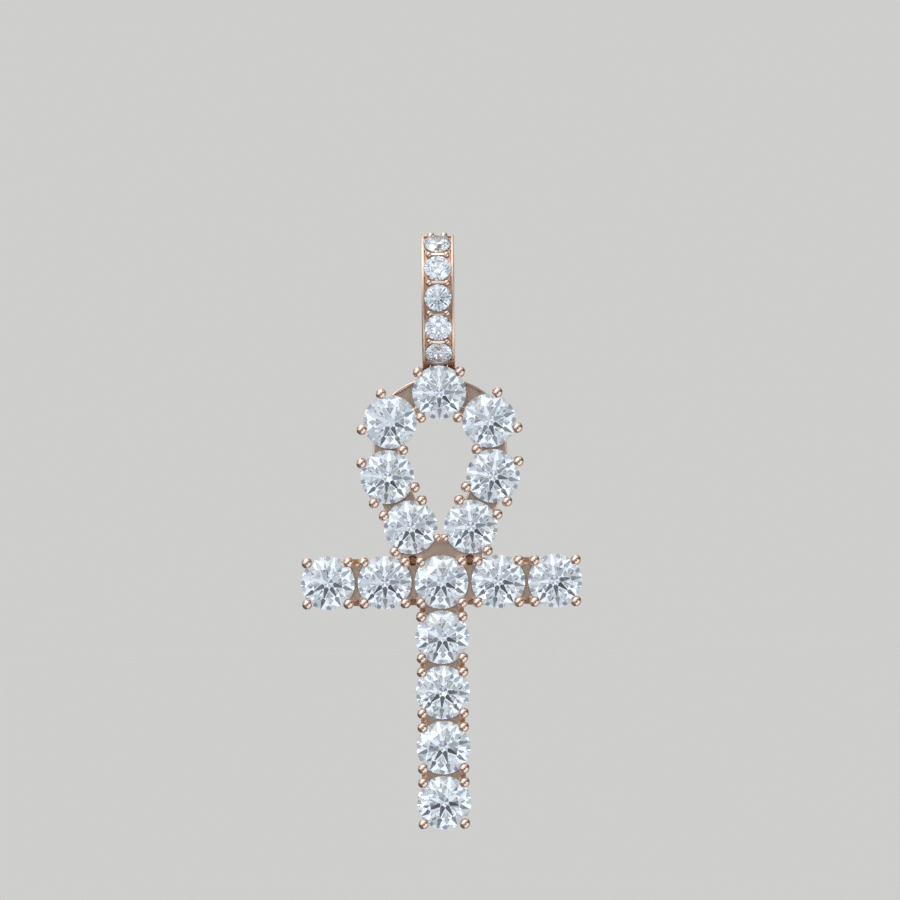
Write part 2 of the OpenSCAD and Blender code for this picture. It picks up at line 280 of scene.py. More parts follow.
# %% Turning a round part
def turned(name, rings, sides=64):
    """A round solid through rings of (radius, height), from the lowest to the highest."""
    radius, height = rings[0]
    spot = (0, 0, height)
    bpy.ops.mesh.primitive_circle_add(vertices=sides, radius=radius, fill_type="NGON", location=spot)
    piece = begin(name)
    with Editing(piece) as edit:
        for next_radius, next_height in rings[1:]:
            rise = {"value": (0, 0, next_height - height)}
            bpy.ops.mesh.extrude_region_move(TRANSFORM_OT_translate=rise)
            ratio = next_radius / radius
            bpy.ops.transform.resize(value=(ratio, ratio, 1), center_override=(0, 0, next_height))
            radius, height = next_radius, next_height
        edit.turn_faces_outwards()
    return piece


# %% [markdown]
# Flat parts are blocks. No edge of a polished casting is sharp: each is a narrow round that catches the
# light, and that is what makes metal look real. A bevel after the merging would round the notches between
# the blocks as well, which no polishing wheel reaches, so each block's own edges are rounded first.

# %% A block with soft edges
SOFT_EDGE = 0.12


def softened_block(name, low, high, soft=SOFT_EDGE):
    size = [b - a for a, b in zip(low, high)]
    centre = [(a + b) / 2 for a, b in zip(low, high)]
    bpy.ops.mesh.primitive_cube_add(size=1, location=centre)
    piece = begin(name, size)
    with Editing(piece):
        bpy.ops.mesh.bevel(offset=soft, segments=3, affect="EDGES")
    return piece


# %% [markdown]
# A seat is a cup round the lower half of its stone. Its wall hides just behind the stone's edge. The room
# for the stone, with the open hole behind it that lets light in, isn't modelled in each cup: it is one
# cutter, which is cut out of everything at the end, so that the plate and the prongs leave the same room.

# %% A cup and the cutter of its seat
CUP_INSET = 0.07
CUP_R = STONE_D / 2 - CUP_INSET
CUP_LIP = 0.05
FOOT_ROUND = 0.15
FOOT_CORNER = 0.04
HOLE_FLARE = 0.1


def seat_cutter(name, stone_d, hole_r, back, flare):
    edge = GIRDLE * stone_d / 2 + STONE_GAP / 2
    culet = GIRDLE * stone_d / 2 + PAVILION * stone_d + STONE_GAP
    seat_r = stone_d / 2 + STONE_GAP
    where_hole_meets_cone = -culet + (culet - edge) * hole_r / seat_r
    return turned(name, [
        (hole_r + 2 * flare, -back - flare),
        (hole_r, -back + flare),
        (hole_r, where_hole_meets_cone),
        (seat_r, -edge),
        (seat_r, edge),
        (TABLE * seat_r, edge + CROWN * stone_d),
    ])


cup = turned("cup", [
    (CUP_R - FOOT_ROUND, -FRAME_BACK),
    (CUP_R - FOOT_CORNER, -FRAME_BACK + FOOT_CORNER),
    (CUP_R, -FRAME_BACK + FOOT_ROUND),
    (CUP_R, -FRAME_FRONT - CUP_LIP),
    (CUP_R - CUP_LIP, -FRAME_FRONT),
])
cutter = seat_cutter("cutter", STONE_D, LIGHT_HOLE_R, FRAME_BACK, HOLE_FLARE)
print("cup", len(cup.data.polygons), "faces; cutter", len(cutter.data.polygons), "faces")

# %% [markdown]
# A prong is a wire beside the stone that ends in a ball. A ball and a cylinder could be joined, but here
# the ball's underside is cut off flat where the ball is as wide as the wire, and that cut is extruded down
# to the back of the frame, so both are one skin. The side that presses on the stone is cut flat later,
# together with the seat.

# %% A prong
BALL_R = 0.415
SHANK_R = 0.33
BALL_RISE = 0.42
PRONG_FOOT = 0.1
PRONG_LENGTH = BALL_RISE + FRAME_BACK - PRONG_FOOT
PRONG_END_ROUND = 0.08
NEAR = 0.01
LEVEL = 0.99
bpy.ops.mesh.primitive_uv_sphere_add(segments=24, ring_count=16, radius=BALL_R)
prong = begin("prong")
ball_cut = -math.sqrt(BALL_R ** 2 - SHANK_R ** 2)
with Editing(prong) as edit:
    bpy.ops.mesh.bisect(plane_co=(0, 0, ball_cut), plane_no=(0, 0, 1), clear_inner=True, use_fill=True)
    edit.pick_faces(lambda spot, normal: spot.z < ball_cut + NEAR and abs(normal.z) > LEVEL)
    bpy.ops.mesh.extrude_region_move(TRANSFORM_OT_translate={"value": (0, 0, -PRONG_LENGTH - ball_cut)})
    edit.pick_edges(lambda spot, along: spot.z < NEAR - PRONG_LENGTH)
    bpy.ops.mesh.bevel(offset=PRONG_END_ROUND, segments=2, affect="EDGES")
    edit.turn_faces_outwards()
print("prong", len(prong.data.polygons), "faces")


# %% [markdown]
# All seats are alike, so cup, cutter and prong are made once, and each stone gets copies that are stood up
# to face the viewer. A prong leans a little: its foot is in the wall of the cup, and its ball is just
# outside the stone's edge. Inside the foot of the loop two smaller prongs meet, one for each stone.

# %% Standing seats and prongs up
PRONG_OUT = 0.17
PRONG_LEAN = 0.12
SMALL_OUT = 0.12
SMALL_TURN = 202
SMALL_SHARE = 0.83


def facing_front(spot):
    """From a seat's own space, with Z towards the viewer, to the ankh's: X right, Y back and Z up."""
    return Matrix.Translation((spot.x, 0, spot.y)) @ Matrix.Rotation(math.radians(90), 4, "X")


def turn_z(degrees):
    return Matrix.Rotation(math.radians(degrees), 4, "Z")


def towards(turn, reach):
    return Vector((math.cos(math.radians(turn)), math.sin(math.radians(turn)))) * reach


def prong_at(spot, turn, lean, share=1):
    tilt = Matrix.Rotation(math.atan2(lean, PRONG_LENGTH), 4, "Y")
    sized = Matrix.Diagonal((share, share, 1, 1))
    rise = Matrix.Translation((0, 0, BALL_RISE))
    return copy_of(prong, facing_front(spot) @ turn_z(turn) @ rise @ tilt @ sized)


cups = joined("cups", [copy_of(cup, facing_front(spot)) for spot, turns in seats])
cutters = joined("cutters", [copy_of(cutter, facing_front(spot)) for spot, turns in seats])
prongs = []
for spot, turns in seats:
    for turn in turns:
        prongs.append(prong_at(spot + towards(turn, STONE_D / 2 + PRONG_OUT), turn, PRONG_LEAN))
for side, turn in ((1, SMALL_TURN), (-1, 180 - SMALL_TURN)):
    for spot, root in shared:
        prongs.append(prong_at(Vector((side * spot.x, spot.y)), 0, 0))
    spot = Vector((side * foot.x, foot.y)) + towards(turn, STONE_D / 2 + SMALL_OUT)
    prongs.append(prong_at(spot, turn, 0, SMALL_SHARE))
print(len(prongs), "prongs")

# %% [markdown]
# Merging the prongs one after the other would be slow, so they are joined into one object first, which one
# boolean takes whole. The two small prongs overlap each other, which that can't take, so the last one stays
# by itself.

# %% Joining the prongs
last_prong = prongs.pop()
prongs = joined("prongs", prongs)
for model in (cup, cutter, prong):
    bpy.data.objects.remove(model)
print(len(prongs.data.polygons), "faces on the prongs")


# %% [markdown]
# The plate is a cross of two blocks and a web above the crossing. Blocks also join the stones up the sides
# of the loop, and a curved band with a raised rim runs over the top stone. One drawn outline could be
# extruded for all of it, but overlapping pieces leave the notches that the casting shows between them. The
# band is a small outline of its cross-section, swung round the middle of its curve.

# %% Blocks up the loop, and a curved band
BAND_SINK = 0.4
ARC_STEPS = 40
ALMOST_HALF = 0.45


def side_block(a, b, width):
    """A block between two places of the loop, and its mirror image on the left."""
    run = b - a
    centre = (a + b) / 2
    low = (-run.length / 2, FRAME_FRONT + BAND_SINK / 2, -width / 2)
    high = (run.length / 2, FRAME_BACK, width / 2)
    blocks = []
    for side in (1, -1):
        block = softened_block("band", low, high)
        turn = Matrix.Rotation(-math.atan2(run.y, side * run.x), 4, "Y")
        block.data.transform(Matrix.Translation((side * centre.x, 0, centre.y)) @ turn)
        blocks.append(block)
    return blocks


def arc_band(name, inner, outer, front):
    """A band round the top of the loop, from shoulder to shoulder."""
    drop = top.y - shoulder.y
    radius = (shoulder.x ** 2 + drop ** 2) / (2 * drop)
    centre = Vector((0, 0, top.y - radius))
    start = math.atan2(shoulder.y - centre.z, shoulder.x)
    mid_r = radius + (inner + outer) / 2
    spot = centre + Vector((math.cos(start) * mid_r, (front + FRAME_BACK) / 2, math.sin(start) * mid_r))
    soft = min(SOFT_EDGE, ALMOST_HALF * (outer - inner))
    bpy.ops.mesh.primitive_plane_add(size=1, location=spot, rotation=(0, -start, 0))
    piece = begin(name, (outer - inner, FRAME_BACK - front, 1))
    with Editing(piece) as edit:
        bpy.ops.mesh.bevel(offset=soft, segments=4, affect="VERTICES")
        bpy.ops.mesh.spin(steps=ARC_STEPS, angle=math.pi - 2 * start, center=centre, axis=(0, 1, 0))
        edit.turn_faces_outwards()
    return piece


# %% The plate and the bands
BAR_W = 3.5
STEM_W = 3.3
BAND_W = 2.4
RIM_T = 0.22
WEB_TOP = 3.3
WEB_OUT = 0.8
bar_reach = place("bar_stone_5").x
stem_reach = -place("stem_stone_4").y
web_x = foot.x + WEB_OUT
bar = softened_block("bar", (-bar_reach, FRAME_FRONT, -BAR_W / 2), (bar_reach, FRAME_BACK, BAR_W / 2))
stem = softened_block("stem", (-STEM_W / 2, FRAME_FRONT, -stem_reach), (STEM_W / 2, FRAME_BACK, 0))
web = softened_block("web", (-web_x, FRAME_FRONT, 0), (web_x, FRAME_BACK, WEB_TOP))
bands = []
for a, b in ((shoulder, middle), (middle, foot), (foot, Vector((0, 0)))):
    bands += side_block(a, b, BAND_W)
for spot, root in shared:
    bands += side_block(spot, root, 2 * SHANK_R)
half_band = BAND_W / 2
bands.append(arc_band("arc", -half_band, half_band, FRAME_FRONT + BAND_SINK))
rim = arc_band("rim", half_band - RIM_T, half_band, FRAME_FRONT)
print(len(bands), "bands, with a bar, a stem, a web and a rim")

# %% [markdown]
# In a row, the plate shows as a narrow waist between two stones. At each end of that waist, between the
# prongs, the casting has a small round hollow. It is left rough, as nothing polishes it, and its darker,
# redder tone is painted shade on top of the real shade in it. A dark spot in the material would look right
# from the front alone, so the hollow is really cut.

# %% Hollows between the seats
HOLLOW_R = 0.4
HOLLOW_FLOOR_R = HOLLOW_R * 0.6
HOLLOW_DEEP = 0.8
HOLLOW_ROUND = 0.15
HOLLOW_OUT = 1.62
GAPS_IN_ROW = 4


def hollow(x, z):
    bottom = -FRAME_FRONT - HOLLOW_DEEP
    rings = [(HOLLOW_FLOOR_R, bottom), (HOLLOW_R, bottom + HOLLOW_ROUND), (HOLLOW_R, 0)]
    piece = turned("hollow", rings, sides=24)
    piece.data.transform(facing_front(Vector((x, z))))
    return piece


bar_pitch = place("bar_stone_4").x
stem_pitch = -place("stem_stone_1").y
hollows = []
for side in (1, -1):
    for i in range(GAPS_IN_ROW):
        hollows.append(hollow((i - (GAPS_IN_ROW - 1) / 2) * bar_pitch, side * HOLLOW_OUT))
        hollows.append(hollow(side * HOLLOW_OUT, -(i + 0.5) * stem_pitch))
print(len(hollows), "hollows")
hollows = joined("hollows", hollows)

# %% [markdown]
# The knuckle is the middle leaf of a tiny hinge. It stands on a short neck on the top cup, between the two
# ears of the bail. The frame is hollowed round the ears first, so that the ankh can swing. The pin's place
# is read from the frame, because bail and ankh both turn about it.

# %% The knuckle, and the whole of the ankh's metal
PIN_R = 0.35
PIN_GAP = 0.03
KNUCKLE_W = 1.2
KNUCKLE_R = 0.85
KNUCKLE_EDGE = 0.06
NECK_T = 1.1
EAR_R = 1.0
TURN_GAP = 0.1
SWING_GAP = 0.3
BAIL_W = 2.45
pin_low, pin_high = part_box("hinge_pin")
pin_spot = (pin_low + pin_high) / 2 / MM - crossing


def rod(name, radius, width, soft=0.0):
    """A round rod along X through the middle of the pin, in the ankh's space."""
    half = width / 2
    rings = [(radius, -half), (radius, half)]
    if soft:
        rings = [(radius - soft, -half), (radius, soft - half)]
        rings += [(radius, half - soft), (radius - soft, half)]
    piece = turned(name, rings)
    piece.data.transform(Matrix.Translation(pin_spot) @ Matrix.Rotation(math.radians(90), 4, "Y"))
    return piece


ankh_metal = finished(bar, SATIN)
merged(ankh_metal, "UNION", [stem, web] + bands + [cups], SATIN)
# The cuts get the as-cast finish, whose darker, redder tone is painted shade in the recesses.
merged(ankh_metal, "DIFFERENCE", [hollows], AS_CAST_PAINTED_SHADE)
merged(ankh_metal, "UNION", [rim, prongs, last_prong], POLISHED)
merged(ankh_metal, "DIFFERENCE", [rod("relief", EAR_R + SWING_GAP, BAIL_W + 2 * TURN_GAP)], AS_CAST_PAINTED_SHADE)
neck_low = (-KNUCKLE_W / 2, pin_spot.y - NECK_T / 2, top.y + LIGHT_HOLE_R)
neck_high = (KNUCKLE_W / 2, pin_spot.y + NECK_T / 2, pin_spot.z)
neck = softened_block("neck", neck_low, neck_high, KNUCKLE_EDGE)
knuckle = rod("knuckle", KNUCKLE_R, KNUCKLE_W, KNUCKLE_EDGE)
merged(ankh_metal, "UNION", [neck, knuckle], POLISHED)
merged(ankh_metal, "DIFFERENCE", [cutters, rod("bore", PIN_R + PIN_GAP, BAIL_W)], AS_CAST_PAINTED_SHADE)
print(len(ankh_metal.data.polygons), "faces before shading")


# %% [markdown]
# A surface is shaded smooth up to its real edges. Smooth shading alone would also bend the light across the
# flat faces beside a rounded edge, like a dent. Weighted normals let the large flat faces win, which is
# quicker than holding each edge with an extra loop of faces.

# %% Shading, and the way from millimetres to metres
SHARP_DEGREES = 35


def finish_piece(piece, name, shift=Vector()):
    piece.name = name
    only(piece)
    piece.data.transform(Matrix.Scale(MM, 4) @ Matrix.Translation(shift))
    bpy.ops.object.shade_smooth_by_angle(angle=math.radians(SHARP_DEGREES))
    flats_first = piece.modifiers.new("flats first", "WEIGHTED_NORMAL")
    flats_first.keep_sharp = True
    bpy.ops.object.modifier_apply(modifier=flats_first.name)
    print(name, len(piece.data.polygons), "faces")


finish_piece(ankh_metal, "ankh_metal", crossing)
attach(ankh_metal, "ankh")
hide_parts("ankh_frame")

# %% [markdown]
# The bail is a strip of metal bent to a pear shape. Its outline is three arcs: a tight crest and two long
# legs that come together at the pin. A thick curve could make it too, but here a cross-section with rounded
# corners is swung round each arc's centre in turn, which gives true arcs and even faces.

# %% Sizes of the bail's loop
BAIL_WALL = 1.0
BAIL_EDGE = 0.09
CREST_R = 3.05
CREST_EXTRA = 0.03
LEG_R = 6.1
TIP_R = 0.95
BAIL_HALF_DEPTH = 3.563
leg_in = LEG_R - BAIL_HALF_DEPTH
crest_up = math.sqrt((LEG_R - CREST_R) ** 2 - leg_in ** 2)
tip_down = math.sqrt((LEG_R - TIP_R) ** 2 - leg_in ** 2)
crest_turn = math.atan2(crest_up, leg_in)
tip_turn = math.atan2(tip_down, leg_in)
leg_z = -(crest_up + CREST_R - BAIL_WALL - CREST_EXTRA)
FRONT_LEG = (0, leg_in, leg_z)
CREST = (0, 0, leg_z + crest_up)
BACK_LEG = (0, -leg_in, leg_z)
print("legs turn %.1f and %.1f degrees" % (math.degrees(tip_turn), math.degrees(crest_turn)))

# %% Bending the strip
STEP_DEGREES = 3


def bent_strip(name, width, low, high, from_turn, arcs, soft=0.0):
    """A strip from low to high above the bail's skin, swung on from a turn on its front leg."""
    mid_r = LEG_R + (low + high) / 2
    spot = (0, leg_in - mid_r * math.cos(from_turn), leg_z + mid_r * math.sin(from_turn))
    bpy.ops.mesh.primitive_plane_add(size=1, location=spot, rotation=(-from_turn, 0, 0))
    piece = begin(name, (width, high - low, 1))
    with Editing(piece) as edit:
        if soft:
            bpy.ops.mesh.bevel(offset=soft, segments=4, affect="VERTICES")
        for centre, angle in arcs:
            steps = round(math.degrees(angle) / STEP_DEGREES)
            bpy.ops.mesh.spin(steps=steps, angle=angle, center=centre, axis=(1, 0, 0))
        edit.turn_faces_outwards()
    return piece


leg_sweep = tip_turn + crest_turn
whole_way = ((FRONT_LEG, leg_sweep), (CREST, math.pi - 2 * crest_turn), (BACK_LEG, leg_sweep))
bail_metal = bent_strip("bail_metal", BAIL_W, -BAIL_WALL, 0, -tip_turn, whole_way, BAIL_EDGE)
for corner in (0, 6):
    print("strip's corner at", [round(v, 2) for v in bail_metal.bound_box[corner]])


# %% [markdown]
# Stones run down the front of the bail, in a shallow channel between two rails. Between two stones a pair
# of beads is raised from the metal, joined by a small bar, and a slit along each rail sets the beads off.
# Flat pieces could be bent along the bail, but they are too small for the bend to show. So each is placed
# straight, by its distance up the front, square to the metal there.

# %% Places on the bail's front
BAIL_STONES = 5
BAIL_PITCH = 2.25
ROW_SHIFT = 0.12


def on_front(distance):
    """From a piece's own space, with Z outwards, to the bail's front, this far up from its widest point."""
    leg_length = LEG_R * crest_turn
    if distance <= leg_length:
        centre, reach, turn = FRONT_LEG, LEG_R, distance / LEG_R
    else:
        centre, reach, turn = CREST, CREST_R, crest_turn + (distance - leg_length) / CREST_R
    x, y, z = centre
    spot = Vector((x, y - reach * math.cos(turn), z + reach * math.sin(turn)))
    return Matrix.Translation(spot) @ Matrix.Rotation(math.radians(90) - turn, 4, "X")


def row_at(i):
    return ((BAIL_STONES - 1) / 2 - i) * BAIL_PITCH - ROW_SHIFT


for i in range(BAIL_STONES):
    print("stone", i + 1, "at", [round(v, 2) for v in on_front(row_at(i)).translation])

# %% The channel, and the cutter of a small seat
RAIL_T = 0.2
# The channel's sides stop this far from the slits' sides, as a boolean can't sort out faces that coincide.
APART = 0.005
CHANNEL_DEEP = 0.1
CHANNEL_LOW = -5.4
CHANNEL_TOP = 5.5
SMALL_HOLE_R = 0.5
SMALL_HOLE_FLARE = 0.05
channel_w = BAIL_W - 2 * RAIL_T - 2 * APART
channel_start = CHANNEL_LOW / LEG_R
crest_share = (CHANNEL_TOP - LEG_R * crest_turn) / CREST_R
channel_way = ((FRONT_LEG, crest_turn - channel_start), (CREST, crest_share))
channel = bent_strip("channel", channel_w, -CHANNEL_DEEP, CHANNEL_DEEP, channel_start, channel_way)
small_d = stone_size("bail_stone_3")
small_cutter = seat_cutter("small_cutter", small_d, SMALL_HOLE_R, BAIL_WALL, SMALL_HOLE_FLARE)
print("channel %.2f mm wide, stones of %.2f mm" % (channel_w, small_d))

# %% Models of a bead, a bar and a slit
SLIT_W = 0.1
SLIT_DEEP = 0.3
SLIT_EDGE = 0.02
BEAD_R = 0.24
BEAD_LAND = 0.03
BEAD_BAR_EDGE = 0.04
CREST_BEAD_R = 0.3


def bead(radius):
    bpy.ops.mesh.primitive_uv_sphere_add(segments=24, ring_count=16, radius=radius)
    return begin("bead")


bead_x = BAIL_W / 2 - RAIL_T - SLIT_W - BEAD_LAND - BEAD_R
bead_model = bead(BEAD_R)
crest_bead = bead(CREST_BEAD_R)
bar_half = Vector((bead_x, BEAD_R / 2, BEAD_R / 2))
bar_model = softened_block("bead_bar", -bar_half, bar_half, BEAD_BAR_EDGE)
slit_half = Vector((SLIT_W / 2, (BAIL_PITCH - small_d / 2 - BEAD_R) / 2, SLIT_DEEP))
slit_model = softened_block("slit", -slit_half, slit_half, SLIT_EDGE)
print("beads %.2f mm off the middle" % bead_x)

# %% Beads, bars, slits and seats along the row
CREST_BEAD_X = 0.49
CREST_BEAD_AT = 0.66
CREST_BEAD_SINK = 0.08
raised = []
slits = []
for i in range(BAIL_STONES - 1):
    between_stones = on_front(row_at(i + 0.5))
    raised.append(copy_of(bar_model, between_stones))
    for side in (1, -1):
        raised.append(copy_of(bead_model, between_stones @ Matrix.Translation((side * bead_x, 0, 0))))
        slit_x = side * (BAIL_W / 2 - RAIL_T - SLIT_W / 2)
        slits.append(copy_of(slit_model, between_stones @ Matrix.Translation((slit_x, 0, 0))))
for side in (1, -1):
    above = on_front(row_at(-CREST_BEAD_AT))
    shift = Matrix.Translation((side * CREST_BEAD_X, 0, -CREST_BEAD_SINK))
    raised.append(copy_of(crest_bead, above @ shift))
small_cutters = [copy_of(small_cutter, on_front(row_at(i))) for i in range(BAIL_STONES)]
small_cutters = joined("small_cutters", small_cutters)
for model in (small_cutter, bead_model, crest_bead, bar_model, slit_model):
    bpy.data.objects.remove(model)
print(len(raised), "raised pieces,", len(slits), "slits")


# %% [markdown]
# The ears hold the ends of the pin. On the real bail the two ends of the strip are soldered into one knob
# round the pin and sawn through the middle for the knuckle. The same is done here: one thick disc joins the
# ends of the strip, and a slot splits it in two.

# %% The ears, and the whole of the bail's metal
EAR_EDGE = 0.1
EAR_GAP = 0.07


def bail_rod(name, radius, width, soft=0.0):
    """A rod through the middle of the pin, in the bail's space, whose origin is inside the crest."""
    piece = rod(name, radius, width, soft)
    piece.data.transform(Matrix.Translation(crossing))
    return piece


finished(bail_metal, SATIN)
# The channel's floor gets the as-cast finish, whose darker tone is painted shade between the rails.
merged(bail_metal, "DIFFERENCE", [channel], AS_CAST_PAINTED_SHADE)
merged(bail_metal, "UNION", [bail_rod("ears", EAR_R, BAIL_W, EAR_EDGE)], SATIN)
merged(bail_metal, "UNION", raised, POLISHED)
slot = bail_rod("slot", EAR_R + TURN_GAP, KNUCKLE_W + 2 * EAR_GAP)
bore = bail_rod("bore", PIN_R + PIN_GAP, 2 * BAIL_W)
# Seats, slits, slot and bore get the as-cast finish too: its darker tone is painted shade in each recess.
merged(bail_metal, "DIFFERENCE", [small_cutters] + slits + [slot, bore], AS_CAST_PAINTED_SHADE)
finish_piece(bail_metal, "bail_metal")
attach(bail_metal, "bail")
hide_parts("bail")

# %% [markdown]
# The pin of the hinge is a plain wire, riveted at both ends: the ends are slightly rounded by the hammer.
# It is turned like the ears, with soft ends.

# %% The pin
PIN_EDGE = 0.06
pin = finished(bail_rod("pin", PIN_R, BAIL_W, PIN_EDGE), POLISHED)
finish_piece(pin, "pin")
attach(pin, "bail")
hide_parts("hinge_pin")


# %% [markdown]
# Materials are made of nodes, and the maths in them reads best as plain expressions. The first class below
# wraps one output of a node, and its operators add Math nodes, so that 1 - mask works as in any formula.
# The second adds every other node. Linking each socket by hand would do the same in many more lines.

# %% Shader maths
class Number:
    """A value that changes over a surface."""

    def __init__(self, shader, socket):
        self.shader = shader
        self.socket = socket

    def maths(self, operation, *values):
        return self.shader.node("ShaderNodeMath", {"operation": operation}, *values)

    def __add__(self, other):
        return self.maths("ADD", self, other)

    __radd__ = __add__

    def __sub__(self, other):
        return self.maths("SUBTRACT", self, other)

    def __rsub__(self, other):
        return self.maths("SUBTRACT", other, self)

    def __mul__(self, other):
        return self.maths("MULTIPLY", self, other)

    __rmul__ = __mul__

    def __truediv__(self, other):
        return self.maths("DIVIDE", self, other)

    def __rtruediv__(self, other):
        return self.maths("DIVIDE", other, self)

    def __abs__(self):
        return self.maths("ABSOLUTE", self)


# %% Nodes
class Shader:
    """A node tree that is being written."""

    def __init__(self, tree):
        self.tree = tree
        self.tree.nodes.clear()

    def node(self, kind, settings, *values, output=0, numbered=None, **named):
        """Adds a node, makes its settings, then gives its sockets values or links. Returns one output.

        Values are for the first sockets, in order. Other sockets are given by number or by name.
        """
        node = self.tree.nodes.new(kind)
        for key, value in settings.items():
            setattr(node, key, value)
        sockets = dict(enumerate(values))
        sockets.update(numbered or {})
        sockets.update({name.replace("_", " "): value for name, value in named.items()})
        for key, value in sockets.items():
            socket = node.inputs[key]
            if isinstance(value, Number):
                self.tree.links.new(value.socket, socket)
            elif socket.type == "RGBA":
                socket.default_value = (*value, 1)
            else:
                socket.default_value = value
        return Number(self, node.outputs[output]) if node.outputs else None

    def mixed_colour(self, share, a, b):
        """Colours can't go through a Math node, which would turn them grey."""
        return self.node("ShaderNodeMix", {"data_type": "RGBA"}, share, output=2, numbered={6: a, 7: b})

    def smooth_step(self, value, start, end, low, high):
        """Goes softly from low to high while the value goes from start to end."""
        settings = {"interpolation_type": "SMOOTHSTEP"}
        return self.node("ShaderNodeMapRange", settings, value, start, end, low, high)


def new_material(name):
    material = bpy.data.materials.new(name)
    material.use_nodes = True
    return material, Shader(material.node_tree)


# %% [markdown]
# Rose-gold plating has three finishes here. Bead tips and rims are polished to a mirror. The plate and the
# bail are satin, because a wheel only skims them, and its marks run up and down. Seats, slits, hollows and
# all else that is cut out are as cast: nothing reaches them, so they are rougher, and their tone is darker
# and redder, which is painted shade in those recesses. A cloudy variation in the tone and hair-thin marks
# keep all three from looking like plastic. A painted picture of marks would need unwrapping and show its
# seams. Noise in the piece's own coordinates needs neither: a mark is a spot of noise, and a wheel's mark
# is the same spot drawn out long.

# %% Rose gold
CLOUDS = 900.0
CLOUDS_IN_TONE = 0.5
CLOUDS_IN_ROUGHNESS = 0.1
MARKS = 9000.0
MARK_HEIGHT = 0.00002


def rose_gold(name, tone, cloudy_tone, roughness, mark_stretch, mark_strength):
    material, shader = new_material(name)
    coordinates = shader.node("ShaderNodeTexCoord", {}, output=3)
    squeeze = (1, 1, 1 / mark_stretch)
    stretched = shader.node("ShaderNodeVectorMath", {"operation": "MULTIPLY"}, coordinates, squeeze)
    clouds = shader.node("ShaderNodeTexNoise", {}, Vector=coordinates, Scale=CLOUDS, Detail=3.0)
    marks = shader.node("ShaderNodeTexNoise", {}, Vector=stretched, Scale=MARKS, Detail=2.0)
    bump = shader.node("ShaderNodeBump", {}, Strength=mark_strength, Distance=MARK_HEIGHT, Height=marks)
    surface = shader.node("ShaderNodeBsdfPrincipled", {}, Metallic=1.0, Normal=bump,
                          Base_Color=shader.mixed_colour(clouds * CLOUDS_IN_TONE, tone, cloudy_tone),
                          Roughness=clouds * CLOUDS_IN_ROUGHNESS + roughness)
    shader.node("ShaderNodeOutputMaterial", {}, surface)
    return material


# Each has a tone, a cloudy tone, a roughness, and the length and the strength of its marks.
rose_golds = {
    POLISHED: rose_gold("polished rose gold", (0.88, 0.70, 0.60), (0.80, 0.60, 0.49), 0.03, 1, 0.06),
    SATIN: rose_gold("satin rose gold", (0.96, 0.75, 0.62), (0.86, 0.62, 0.49), 0.32, 12, 0.5),
    # The as-cast tone is darker and redder than the others: painted shade for the cut recesses.
    AS_CAST_PAINTED_SHADE: rose_gold("rose gold as cast with painted shade", (0.72, 0.48, 0.36), (0.56, 0.34, 0.24), 0.36, 1, 0.2),
}
for piece in (ankh_metal, bail_metal, pin):
    for finish, material in rose_golds.items():
        piece.data.materials[finish] = material
    print(piece.name, [material.name for material in piece.data.materials])

# %% [markdown]
# Cubic zirconia bends light nearly as much as diamond, so light that enters the crown is thrown back by the
# facets underneath. A picture of a sparkle would stay the same from every side. Glass with the right index
# does in the renderer what the stone does, and the solids' flat facets do the rest.

# %% Stones
ZIRCONIA_INDEX = 2.17
ZIRCONIA_TONE = (0.90, 0.96, 1.0)
stone_material, shader = new_material("cubic zirconia")
surface = shader.node("ShaderNodeBsdfPrincipled", {}, Base_Color=ZIRCONIA_TONE, Roughness=0.0,
                      IOR=ZIRCONIA_INDEX, Transmission_Weight=1.0)
shader.node("ShaderNodeOutputMaterial", {}, surface)
stones = [node for name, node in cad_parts.items() if "stone" in name]
for stone in stones:
    stone.data.materials.clear()
    stone.data.materials.append(stone_material)
print(len(stones), "stones")

# %% [markdown]
# The pendant hangs free over a pale floor. A sheet of paper that curves up behind would hide the horizon,
# but it would show its edges from the side. So the floor is a flat disc, so wide that its far edge looks
# level, and its tone is set to meet the backdrop's there. Metal and stones don't see it, as if the tent
# closed underneath, or else its one flat tone would fill the lower half of every bead.

# %% Floor
FLOOR_Z = -0.3
FLOOR_R = 6
PAPER = (0.7145, 0.681, 0.639)
bpy.ops.mesh.primitive_circle_add(vertices=96, radius=FLOOR_R, fill_type="NGON", location=(0, 0, FLOOR_Z))
floor = begin("floor")
material, shader = new_material("pale paper")
surface = shader.node("ShaderNodeBsdfDiffuse", {}, Color=PAPER)
shader.node("ShaderNodeOutputMaterial", {}, surface)
floor.data.materials.append(material)
floor.visible_glossy = False
floor.visible_transmission = False
print("floor %.1f m below" % -FLOOR_Z)

# %% [markdown]
# What a polished stone or bead shows is the tent of white cloth around it, so the light comes from there.
# The tent could be built from lamps and sheets, but each sheet would also have to be hidden from the
# camera. A world that gets its brightness from the direction alone is simpler, and every soft step in it is
# one line.
# A dark patch where the photographer stands, a little below the middle, draws the dark arrows in the lower
# half of each stone and the dark dot in each bead. Metal mirrors a wider patch than the stones look into,
# and two dark corners, which only a renderer can do: with one tent for both, either the stones turn dull or
# the beads lose their dots. For the stones the tent has dim gaps between four panels. For both it has a dim
# seam round the front, and is dimmer at the sides and brighter overhead. Three faintly coloured spots stand
# for the fire of the stones, because the renderer bends every colour of light alike.

# %% Directions in the tent
FRONT = Vector((0, -1, 0))
PHOTOGRAPHER = Vector((0.05, -1, -0.08))
world = bpy.data.worlds.new("studio")
bpy.context.scene.world = world
world.use_nodes = True
shader = Shader(world.node_tree)
direction = shader.node("ShaderNodeTexCoord", {}, output=0)
right = shader.node("ShaderNodeSeparateXYZ", {}, direction, output=0)
back = shader.node("ShaderNodeSeparateXYZ", {}, direction, output=1)
up = shader.node("ShaderNodeSeparateXYZ", {}, direction, output=2)


